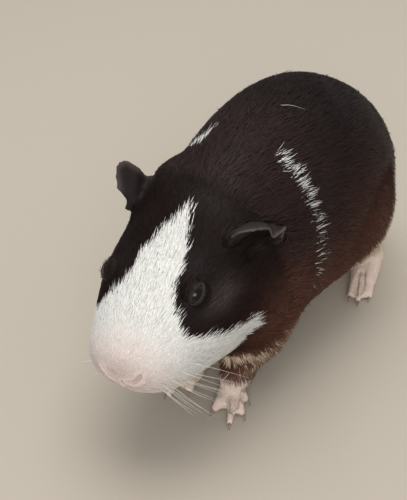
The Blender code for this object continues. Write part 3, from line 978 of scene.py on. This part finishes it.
def eyeball_mesh(side):
    bm = bmesh.new()
    bmesh.ops.create_icosphere(bm, subdivisions=5, radius=EYEBALL)
    look = eye_axes(side)[2]
    local = np.array([v.co for v in bm.verts])
    facing = local @ look / EYEBALL
    swollen = local + look * (CORNEA_BULGE * ramp(facing, 0.45, 1.0))[:, None]
    for vertex, place in zip(bm.verts, from_head(swollen + eye_centre(side))):
        vertex.co = place
    mesh = made_mesh(bm, f"eyeball_{side}")
    off_axis = np.linalg.norm(local - np.outer(local @ look, look), axis=1)
    off_axis = np.where(facing > 0, off_axis, 99)
    colours = np.tile(PUPIL_BLACK, (len(local), 1))
    colours = blend(colours, IRIS_BROWN, ramp(off_axis, PUPIL - 0.3, PUPIL + 0.3))
    set_colour(mesh, blend(colours, BALL_DARK, ramp(off_axis, IRIS, IRIS + 0.6)))
    mesh.shade_smooth()
    return mesh


# %% Lid margins
MARGIN_RADIUS, MARGIN_OVER = 0.24, 0.25
MARGIN_POINTS = 73


def twist_between(last, first):
    """How far a ring has turned against another, in corners."""
    def gap(turn):
        return sum((v.co - first[(j + turn) % len(first)].co).length for j, v in enumerate(last))

    return min(range(len(first)), key=gap)


def tube(bm, path, radii, sides=8):
    """A round tube along a path, closed at both ends; a closed path gives a ring."""
    path = [Vector(p) for p in path]
    looped = (path[0] - path[-1]).length < 1e-9
    if looped:
        path, radii = path[:-1], radii[:-1]
    angles = [2 * math.pi * j / sides for j in range(sides)]
    rows, sideways = [], None
    for k, place in enumerate(path):
        before = path[k - 1] if k or looped else place
        after = path[(k + 1) % len(path)] if k + 1 < len(path) or looped else place
        along = (after - before).normalized()
        sideways = sideways or along.orthogonal().normalized()
        sideways = (sideways - along * sideways.dot(along)).normalized()
        other = along.cross(sideways)
        ring = [place + (sideways * math.cos(t) + other * math.sin(t)) * radii[k] for t in angles]
        rows.append([bm.verts.new(corner) for corner in ring])
    if looped:
        twist = twist_between(rows[-1], rows[0])
        rows.append(rows[0][twist:] + rows[0][:twist])
    for near, far in zip(rows, rows[1:]):
        for j in range(sides):
            bm.faces.new((near[j], near[(j + 1) % sides], far[(j + 1) % sides], far[j]))
    if not looped:
        bm.faces.new(rows[0][::-1])
        bm.faces.new(rows[-1])


def tubes_mesh(name, paths, radii, sides):
    """One smooth mesh of tubes of the given millimetres along paths in metres."""
    bm = bmesh.new()
    for path in paths:
        tube(bm, path, radii * MM, sides)
    bmesh.ops.recalc_face_normals(bm, faces=bm.faces)
    mesh = made_mesh(bm, name)
    mesh.shade_smooth()
    return mesh


def lid_margin_path(side):
    along, across, look = eye_axes(side)
    angles = np.linspace(0, 2 * math.pi, MARGIN_POINTS)
    a = SLIT_HALF_LENGTH * np.cos(angles)
    b = np.sign(np.sin(angles)) * slit_height(a) - LID_CENTRE_DROP
    out = np.sqrt(np.clip((EYEBALL + MARGIN_OVER) ** 2 - np.hypot(a, b) ** 2, 4.0, None))
    ring = a[:, None] * along + b[:, None] * across + out[:, None] * look + eye_centre(side)
    ring[-1] = ring[0]
    return from_head(ring)


eye_finish = eye_material()
margin_finish = plain_material("lid margin", (0.008, 0.006, 0.006, 1), 0.6)
for side in SIDES:
    finished(f"eyeball_{side}", eyeball_mesh(side), eye_finish, "eye", f"eye_{side}")
    name = f"lid_margin_{side}"
    margin = tubes_mesh(name, [lid_margin_path(side)], np.full(MARGIN_POINTS, MARGIN_RADIUS), 8)
    finished(name, margin, margin_finish, "ear_skin")
print("eyeballs set, mm across:", 2 * EYEBALL, "lid margins, faces each:", len(margin.polygons))

# %% [markdown]
# ## Claws
#
# The solids give the claws' size and place, and a fine remesh with a little relaxing turns their
# few flats into a rounded form.

# %% Claws
CLAW_VOXEL = 0.14
HORN_COLOURS = (0.10, 0.065, 0.05, 1), (0.30, 0.21, 0.165, 1)


def claw_material():
    material = plain_material("horn", (0.3, 0.22, 0.18, 1), 0.35)
    streaks = noise_in(material, 1400, (1, 0.2, 1))
    shades = new_node(material, "ShaderNodeValToRGB", Fac=streaks)
    for element, colour in zip(shades.color_ramp.elements, HORN_COLOURS):
        element.color = colour
    bump = bump_from(material, streaks, 0.2, 0.0001)
    return surfaced(material, Base_Color=shades.outputs["Color"], Normal=bump)


horn = claw_material()
claws = sorted(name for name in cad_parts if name.startswith("claw_"))
for name in claws:
    mesh = modified(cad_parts[name].data.copy(), wrap(CLAW_VOXEL), ease(6))
    mesh.shade_smooth()
    finished(f"{name}_horn", mesh, horn, "claw", name)
print("claws:", len(claws))

# %% [markdown]
# ## How the hair lies
#
# Hair fans out backwards over the brow and cheeks, runs back along the trunk, sinks on the flanks,
# falls on the rump, and points down the legs to the toes. Hair that would grow into an eye is
# turned round it and kept short, and bare skin gets none.

# %% Fields of direction, length, width and density
# Length and width of a tuft in millimetres, and tufts to the square millimetre
HAIR = {
    "trunk": (9.0, 0.55, 2.2),
    "leg": (4.5, 0.36, 2.4),
    "head": (5.8, 0.29, 4.2),
    "muzzle": (1.9, 0.22, 4.8),
    "foot": (1.5, 0.20, 2.2),
}
SOLE = 2.5  # no hair below this height
FAN_FROM = (1.2, -66, -6)  # the hair of the face fans out from here, just before the nose
LEG_WAY, FOOT_WAY = (0, 0.15, -1.0), (0, -1.0, -0.2)


def away_from_eyes(fan, local):
    """The fan without what in it points into an eye that is near."""
    for side in SIDES:
        look = eye_axes(side)[2]
        around = local - eye_centre(side)
        outward = unit(around - np.outer(around @ look, look))
        into = np.clip((fan * outward).sum(1), None, 0)
        close = 1 - ramp(np.linalg.norm(around, axis=1), 6, 9.5)
        fan = fan - outward * (into * close)[:, None]
    return fan


def lie_of_hair(points, normals, region):
    local, body = to_head(points), to_body(points)
    x, y, z = body.T
    sinks = 0.35 * np.clip(np.abs(x) / 40, 0, 1) + 0.9 * ramp(y, 55, 92)
    sinks += 1.2 * ramp(-local[:, 2], 26, 40) * (1 - ramp(local[:, 1], 0, 12))
    way = np.stack([0 * x, 1 + 0 * x, -sinks], 1)
    way = blend(blend(way, LEG_WAY, region["leg"]), FOOT_WAY, region["foot"])
    fan = away_from_eyes(unit(unit(local - FAN_FROM) + (0, 0.6, -0.1)), local)
    fan[:, 2] -= 0.8 * ramp(-local[:, 2], 22, 36)
    fan[:, 2] -= 0.5 * ramp(-local[:, 2], 2, 14) * ramp(local[:, 1], -42, -28)
    way = blend(way, fan @ HEAD_TURN.T, region["head"])
    return unit(way - normals * (way * normals).sum(1)[:, None])


def opening_gap(local, side):
    """Millimetres from the edge of an eye's opening; negative inside it."""
    along, across, look = eye_axes(side)
    around = local - eye_centre(side)
    a, b = around @ along, around @ across + LID_CENTRE_DROP
    gap = np.maximum(np.abs(b) - slit_height(a), np.abs(a) - SLIT_HALF_LENGTH)
    return np.where((around @ look > 0) & (np.hypot(a, b) < 12), gap, 99)


def hair_sizes(points, region):
    """Length, width and density of the tufts at each point."""
    local = to_head(points)
    muzzle = ramp(local[:, 1], MUZZLE_FROM, MUZZLE_TO) * region["head"]
    sizes = np.tile(HAIR["trunk"], (len(points), 1))
    shares = {**region, "muzzle": muzzle}
    for part in ("leg", "head", "muzzle", "foot"):
        sizes = blend(sizes, HAIR[part], shares[part])
    bare = np.clip(region["ear"] * 3, 0, 1)
    bare = np.maximum(bare, 1 - ramp(to_body(points)[:, 2], SOLE, SOLE + 1))
    for side in SIDES:
        gap = opening_gap(local, side)
        sizes[:, 0] = np.minimum(sizes[:, 0], 0.7 + 0.75 * np.clip(gap, 0, None))
        sizes[:, 1] *= 0.55 + 0.45 * ramp(gap, 0.5, 4)
        bare = np.maximum(bare, 1 - ramp(gap, 0.25, 0.6))
        bare = np.maximum(bare, 1 - ramp(path_distance(points, nostrils[side]), 0.9, 1.8))
    sizes[:, 2] *= 1 - bare
    return sizes


tree = search_tree(skin_mesh)
nostrils = {side: laid_on(tree, mirrored_path(NOSTRIL, side)) for side in SIDES}
points = coordinates(skin_mesh)
normals = normals_of(skin_mesh)
lie = lie_of_hair(points, normals, region)
sizes = hair_sizes(points, region)
print("hair length mm:", np.round(sizes[:, 0].min(), 2), "to", np.round(sizes[:, 0].max(), 2))


# %% Roots, spread evenly over the skin
def read_at_roots(mesh, density):
    """Spreads roots by density, and returns a function that reads a vertex field at each root."""
    mesh.calc_loop_triangles()
    corners = np.empty(len(mesh.loop_triangles) * 3, np.int32)
    mesh.loop_triangles.foreach_get("vertices", corners)
    corners = corners.reshape(-1, 3)
    a, b, c = (points[corners[:, k]] for k in range(3))
    area = np.linalg.norm(np.cross(b - a, c - a), axis=1) / 2 / MM**2
    total = np.cumsum(area * density[corners].mean(1))
    face = np.searchsorted(total, np.arange(0.5, total[-1]))
    u, v = rng.random((2, len(face)))
    outside = u + v > 1
    u, v = np.where(outside, 1 - u, u), np.where(outside, 1 - v, v)
    share = np.stack([1 - u - v, u, v], 1)

    def read(field):
        values = np.asarray(field)[corners[face]]
        return (values * share.reshape(share.shape + (1,) * (values.ndim - 2))).sum(1)

    return read


read = read_at_roots(skin_mesh, sizes[:, 2])
roots, root_normals = read(points), unit(read(normals))
at_root = {name: read(weight) for name, weight in region.items()}
print("tufts:", len(roots))

# %% [markdown]
# ## Tufts
#
# A tuft is a thin closed spike of ten triangles: a ring of three sunk at the root, a ring of three
# at its belly, and a tip at the full depth of the coat. The last two are dropped back onto the
# skin before they are lifted, so that a long tuft bends with the body. Shading normals lean
# towards the skin's own, which gives the coat one soft sheen instead of a glitter of edges.

# %% How a tuft is shaped
ROOT_SUNK = 0.25
BELLY, BELLY_RISE = 0.42, 0.62  # the widest place along a tuft, and its share of the rise
FLOOR_CLEAR = 0.1
SPIKE = [(0, 1, 2)]
for i, j in ((0, 1), (1, 2), (2, 0)):
    SPIKE += [(j, i, i + 3), (j, i + 3, j + 3), (j + 3, i + 3, 6)]
SPIKE = np.array(SPIKE)


def dropped(places):
    """The skin's nearest place and normal to each of the places."""
    found = [tree.find_nearest(place)[:2] for place in places]
    return np.array([f[0] for f in found]), np.array([f[1] for f in found])


def spikes(roots, normals, ways, length, width, rise, lean):
    """Corners and shading normals of one tuft for each root: seven of each."""
    middle, middle_normals = dropped(roots + ways * (length * BELLY * MM)[:, None])
    tip, tip_normals = dropped(roots + ways * (length * MM)[:, None])
    base = roots - normals * ROOT_SUNK * MM
    middle += middle_normals * (rise * BELLY_RISE * MM)[:, None]
    tip += tip_normals * (rise * MM)[:, None]
    sideways = unit(np.cross(ways, normals))
    half = (width / 2 * MM)[:, None]
    corners = np.stack([
        base - sideways * half * 0.6, base + sideways * half * 0.6, base + normals * half * 0.6,
        middle - sideways * half, middle + sideways * half, middle + middle_normals * half * 0.9, tip,
    ], 1)
    lean, keep = lean[:, None], 1 - lean[:, None]
    shading = unit(np.stack([
        normals * keep - sideways * lean, normals * keep + sideways * lean, normals,
        middle_normals * keep - sideways * lean, middle_normals * keep + sideways * lean,
        middle_normals, tip_normals * 0.85 + ways * 0.15,
    ], 1))
    corners[..., 2] = np.maximum(corners[..., 2], FLOOR_CLEAR * MM)
    return corners, shading


# %% Single white hairs
# Height in the body's frame, the band's place along the body, and the share of white hairs in it
BANDS = {
    "left": ((38, -11, 0), (44, -11, 0.10), (53, -10, 0.22), (60, -9.2, 0.32), (70, -9.5, 0.38),
             (78, -10.2, 0.6), (86, -11.5, 0.85), (91, -13, 0.7), (94.5, -13.5, 0.25), (96, -14, 0)),
    "right": ((45, -14, 0), (60, -16, 0.25), (80, -19, 0.5), (88, -20, 0.85), (93, -17, 0.85),
              (96, -13, 0.5), (98, -9, 0)),
}
BAND_HALF_WIDTH = {"left": 2.4, "right": 3.6}
BAND_INNER = {"left": 10.0, "right": 16.5}
NAPE_TICK, TICK_RADIUS, TICK_SHARE = (-7.5, -31.5, 92), 1.6, 0.5


def band_share(body):
    """The share of white hairs at each place."""
    x, y, z = body.T
    share = TICK_SHARE * (np.linalg.norm(body - NAPE_TICK, axis=1) < TICK_RADIUS)
    for side, band in BANDS.items():
        centre, strength = across_curve(band, z)
        off = np.abs(y - centre) / BAND_HALF_WIDTH[side]
        inner = ramp(x * SIDES[side], BAND_INNER[side] - 1.5, BAND_INNER[side] + 0.5)
        share = np.maximum(share, strength * inner * (1 - ramp(off, 0.5, 1.3)))
    return share


# %% Grow the tufts
JITTER = {"trunk": 0.13, "head": 0.10}  # radians
WAVES, WAVE_LENGTH, WAVE_TURN = 4, 17.0, 0.16  # locks of hair swing together over some millimetres
STRAY_SHARE, STRAY_TURN, STRAY_RISE = 0.02, 0.5, 1.35
LENGTHS, WIDTHS, RISES = (0.7, 1.15), (0.75, 1.2), (0.55, 1.0)  # the spread round the usual size
BAND_WIDTH = 0.62  # a white hair's width beside a dark tuft's
LEAN = {"trunk": 0.35, "head": 0.2}  # how far shading normals follow the tuft, not the skin
JOWL, JOWL_PUFF = ((27, -6, -31), (16, 18, 12)), 0.7  # where the coat stands fuller


def trunk_to_head(values):
    return values["trunk"] + (values["head"] - values["trunk"]) * at_root["head"]


def turned(ways, normals, angles):
    """Directions turned about the normals."""
    return ways * np.cos(angles)[:, None] + np.cross(normals, ways) * np.sin(angles)[:, None]


count = len(roots)
body_at_root = to_body(roots)
swing = sum(np.sin(body_at_root @ rng.normal(size=3) * 2 * math.pi / WAVE_LENGTH + phase)
            for phase in rng.random(WAVES) * 6) / 2
angles = swing * WAVE_TURN + rng.normal(size=count) * trunk_to_head(JITTER)
stray = rng.random(count) < STRAY_SHARE * (1 - at_root["head"])
angles += stray * rng.normal(size=count) * STRAY_TURN
ways = unit(read(lie))
ways = unit(ways - root_normals * (ways * root_normals).sum(1)[:, None])
ways = turned(ways, root_normals, angles)
length, width, _ = read(sizes).T
length = length * rng.uniform(*LENGTHS, count)
width = width * rng.uniform(*WIDTHS, count)
in_band = rng.random(count) < band_share(body_at_root)
width[in_band] *= BAND_WIDTH
rise = coat_depth(roots, at_root) * rng.uniform(*RISES, count) * np.where(stray, STRAY_RISE, 1)
rise *= 1 + JOWL_PUFF * patch(to_head(roots), *JOWL)
corners, shading = spikes(roots, root_normals, ways, length, width, rise, trunk_to_head(LEAN))
print("longest tuft mm:", round(float(length.max()), 1))

# %% [markdown]
# ## Colours of the tufts
#
# A tuft takes the colour at its root, so white hair lies in points over the dark hair behind it.
# No two are quite alike, and each is painted darker at the root, where the tufts shade each other, and
# lighter at the tip. A band of single white hairs crosses each shoulder, with a few more at the nape.

# %% Markings on the tufts
PALE_LEG_SHARE, PALE_LEG_TOP, PALE_LEG_BACK = 0.09, 23, -15  # pale hairs low on the forelegs


def at_corners(root, belly, tip):
    return np.stack([root] * 3 + [belly] * 3 + [tip], 1)


tuft_colour = coat_colour(roots, at_root, ragged=0.75, soft=0.1)
tuft_colour = blend(tuft_colour, FOOT_PINK * 1.15, np.clip(at_root["foot"] * 1.4, 0, 1))
low_on_leg = (at_root["leg"] > 0.5) & (body_at_root[:, 2] < PALE_LEG_TOP)
low_on_leg &= body_at_root[:, 1] < PALE_LEG_BACK
tuft_colour[low_on_leg & (rng.random(count) < PALE_LEG_SHARE)] = CREAM
tuft_colour[in_band] = WHITE * 0.9
pale = ramp(tuft_colour[:, 1], 0.1, 0.4)
tuft_colour *= np.exp(rng.normal(size=count) * (0.20 - 0.15 * pale))[:, None]
# painted shade: each tuft darker at the root, where the tufts shade each other, and lighter at the tip
shades = at_corners(root=0.55 + 0.38 * pale, belly=0.95 + 0.03 * pale, tip=1.15 - 0.12 * pale)
corner_colours = tuft_colour[:, None] * shades[..., None]
print("white tufts:", int((pale > 0.5).sum()), "in the bands:", int(in_band.sum()))


# %% Coat material
def coat_material():
    material = plain_material("coat", (0.03, 0.02, 0.02, 1), 0.5)
    hairs = noise_in(material, 2600, (1, 0.15, 1), detail=2)
    return surfaced(
        material,
        Base_Color=tinted(material, hairs, 0.88, 1.12),
        Normal=bump_from(material, hairs, 0.35, 0.0001),
        Specular_IOR_Level=0.08,
    )


# %% [markdown]
# ## The coat in pieces
#
# When colours are baked into a picture, each tuft needs its own small patch of it, so every piece
# gets a map that unrolls the skin round that part's own axis and puts each tuft's patch at its
# root's place.

# %% Unroll the skin and build the pieces
PATCH = 0.003
PATCH_FORM = np.array([(-1, -1), (1, -1), (0, -0.6), (-0.8, 0), (0.8, 0), (0.1, 0.3), (0, 1)]) / 2
NOSEWARDS = HEAD_TURN @ np.array((0, -1, 0))
TAILWARDS, DOWNWARDS = np.array((0, 1.0, 0)), np.array((0, 0, -1.0))
CORNERS = 7


def unrolled(places, axis, flare):
    """Angle round the axis and length along the skin, both spread from 0 to 1."""
    middle = (places.min(0) + places.max(0)) / 2
    along = (places - middle) @ axis
    off = places - middle - np.outer(along, axis)
    radius = np.linalg.norm(off, axis=1)
    front = unit(np.cross(axis, (1.0, 0.3, 0.2)))
    angle = np.arctan2(off @ np.cross(axis, front), off @ front)
    turn = np.angle(np.exp(1j * angle).mean())
    angle = (angle - turn + math.pi) % (2 * math.pi)
    flat = np.stack([angle, along + flare * radius], 1)
    flat -= flat.min(0)
    return flat / np.maximum(flat.max(0), 1e-9)


def tuft_mesh(name, corners, shading, colours, flat):
    count = len(corners)
    faces = (SPIKE[None] + np.arange(count)[:, None, None] * CORNERS).reshape(-1, 3)
    mesh = bpy.data.meshes.new(name)
    mesh.vertices.add(count * CORNERS)
    mesh.vertices.foreach_set("co", corners.astype(np.float32).ravel())
    mesh.loops.add(faces.size)
    mesh.loops.foreach_set("vertex_index", faces.astype(np.int32).ravel())
    mesh.polygons.add(len(faces))
    mesh.polygons.foreach_set("loop_start", np.arange(0, faces.size, 3, dtype=np.int32))
    mesh.update(calc_edges=True)
    set_colour(mesh, colours.reshape(-1, 3))
    places = (flat * (1 - 2 * PATCH) + PATCH)[:, None] + PATCH_FORM[None] * PATCH
    layer = mesh.uv_layers.new(name="OFBake")
    layer.data.foreach_set("uv", places.reshape(-1, 2)[faces.ravel()].astype(np.float32).ravel())
    mesh.shade_smooth()
    mesh.normals_split_custom_set_from_vertices(shading.reshape(-1, 3).astype(np.float32))
    return mesh


FACE_FROM, CROWN_FROM = -36, -16  # along the head
FLANK_FROM, RUMP_FROM = -8, 45  # along the body
ahead = to_head(roots)[:, 1]
x, y, z = body_at_root.T
of_limb = np.maximum(at_root["leg"], at_root["foot"]) > 0.5
of_head = (at_root["head"] > 0.5) & ~of_limb
of_trunk = ~of_head & ~of_limb
of_flank = of_trunk & (y >= FLANK_FROM) & (y < RUMP_FROM)
COAT = {
    "coat_muzzle": (of_head & (ahead < FACE_FROM), NOSEWARDS, -1),
    "coat_face": (of_head & (ahead >= FACE_FROM) & (ahead < CROWN_FROM), NOSEWARDS, -1),
    "coat_crown": (of_head & (ahead >= CROWN_FROM), NOSEWARDS, -1),
    "coat_shoulders": (of_trunk & (y < FLANK_FROM), TAILWARDS, 0),
    "coat_flank_left": (of_flank & (x >= 0), TAILWARDS, 0),
    "coat_flank_right": (of_flank & (x < 0), TAILWARDS, 0),
    "coat_rump": (of_trunk & (y >= RUMP_FROM), TAILWARDS, -1),
}
for across, side in ((x >= 0, "left"), (x < 0, "right")):
    COAT[f"coat_foreleg_{side}"] = (of_limb & across & (y < LEGS_PART), DOWNWARDS, 1)
    COAT[f"coat_hindleg_{side}"] = (of_limb & across & (y >= LEGS_PART), DOWNWARDS, 1)

fur = coat_material()
for name, (chosen, axis, flare) in COAT.items():
    flat = unrolled(roots[chosen], axis, flare)
    mesh = tuft_mesh(name, corners[chosen], shading[chosen], corner_colours[chosen], flat)
    finished(name, mesh, fur, "coat")
    print(name, "tufts:", int(chosen.sum()), "triangles:", len(mesh.polygons))

# %% [markdown]
# ## Whiskers and single hairs
#
# Whiskers leave the pads of the muzzle in rows, sweep outwards, taper and sag a little. One long
# pale hair lies across the back.

# %% Whiskers
WHISKER_RADIUS, WHISKER_TIP = 0.10, 0.12  # the tip as a share of the root
WHISKER_ROWS, WHISKERS_IN_ROW = 4, 4
WHISKER_LENGTHS, LONGER_BEHIND = (10, 14), 2.8
# On the left of the head: the first root, and the steps to the next hair and the next row
ROOT_AT = np.array(((14, -53, -3.0), (0, 3.6, 0), (0, -0.8, -2.6)))
WHISKER_WAY = np.array(((0.8, -0.25, -0.42), (0, 0.2, 0), (0, 0, -0.14)))
WAY_SPREAD, SAG, SAG_SPREAD = 0.07, -0.22, 0.05
STEPS = 8
BACK_HAIR = ((-3.5, 12.8, 99.2), (0.5, 14.6, 99.6), (5.5, 17.2, 98.2))


def whisker_path(side, row, k):
    """A whisker that starts along a direction and sags: places in metres."""
    place, way = ((1, k, row) @ table * (SIDES[side], 1, 1) for table in (ROOT_AT, WHISKER_WAY))
    root = np.array(tree.find_nearest(Vector(from_head(place)))[0])
    way = unit(unit(way) + rng.normal(size=3) * WAY_SPREAD) @ HEAD_TURN.T
    sag = np.array((0, -SAG, SAG + rng.normal() * SAG_SPREAD))
    length = rng.uniform(*WHISKER_LENGTHS) + LONGER_BEHIND * k
    t = np.linspace(0, 1, STEPS)[:, None]
    return root + (way * t + sag * t * t) * length * MM


def whisker_material():
    material = plain_material("whisker", (0.72, 0.68, 0.62, 1), 0.4)
    streaks = noise_in(material, 600, (1, 1, 1), detail=1)
    return surfaced(material, Normal=bump_from(material, streaks, 0.1, 0.00005))


paths = [whisker_path(side, row, k)
         for side in SIDES for row in range(WHISKER_ROWS) for k in range(WHISKERS_IN_ROW)]
paths.append(from_body(smooth_curve(BACK_HAIR, STEPS)))
taper = WHISKER_RADIUS * np.linspace(1, WHISKER_TIP, STEPS)
whiskers = finished("whiskers", tubes_mesh("whiskers", paths, taper, 3), whisker_material(), "coat")
print("whisker faces:", len(whiskers.data.polygons))

# %% Measure how far the pieces reach beyond the solids, and finish
piece_box = [list(corner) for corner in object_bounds()]
growth = (np.array(piece_box) - np.array(CAD_BOX)) / MM
print("visual box beyond the solids, mm:", np.round(growth, 1).tolist())
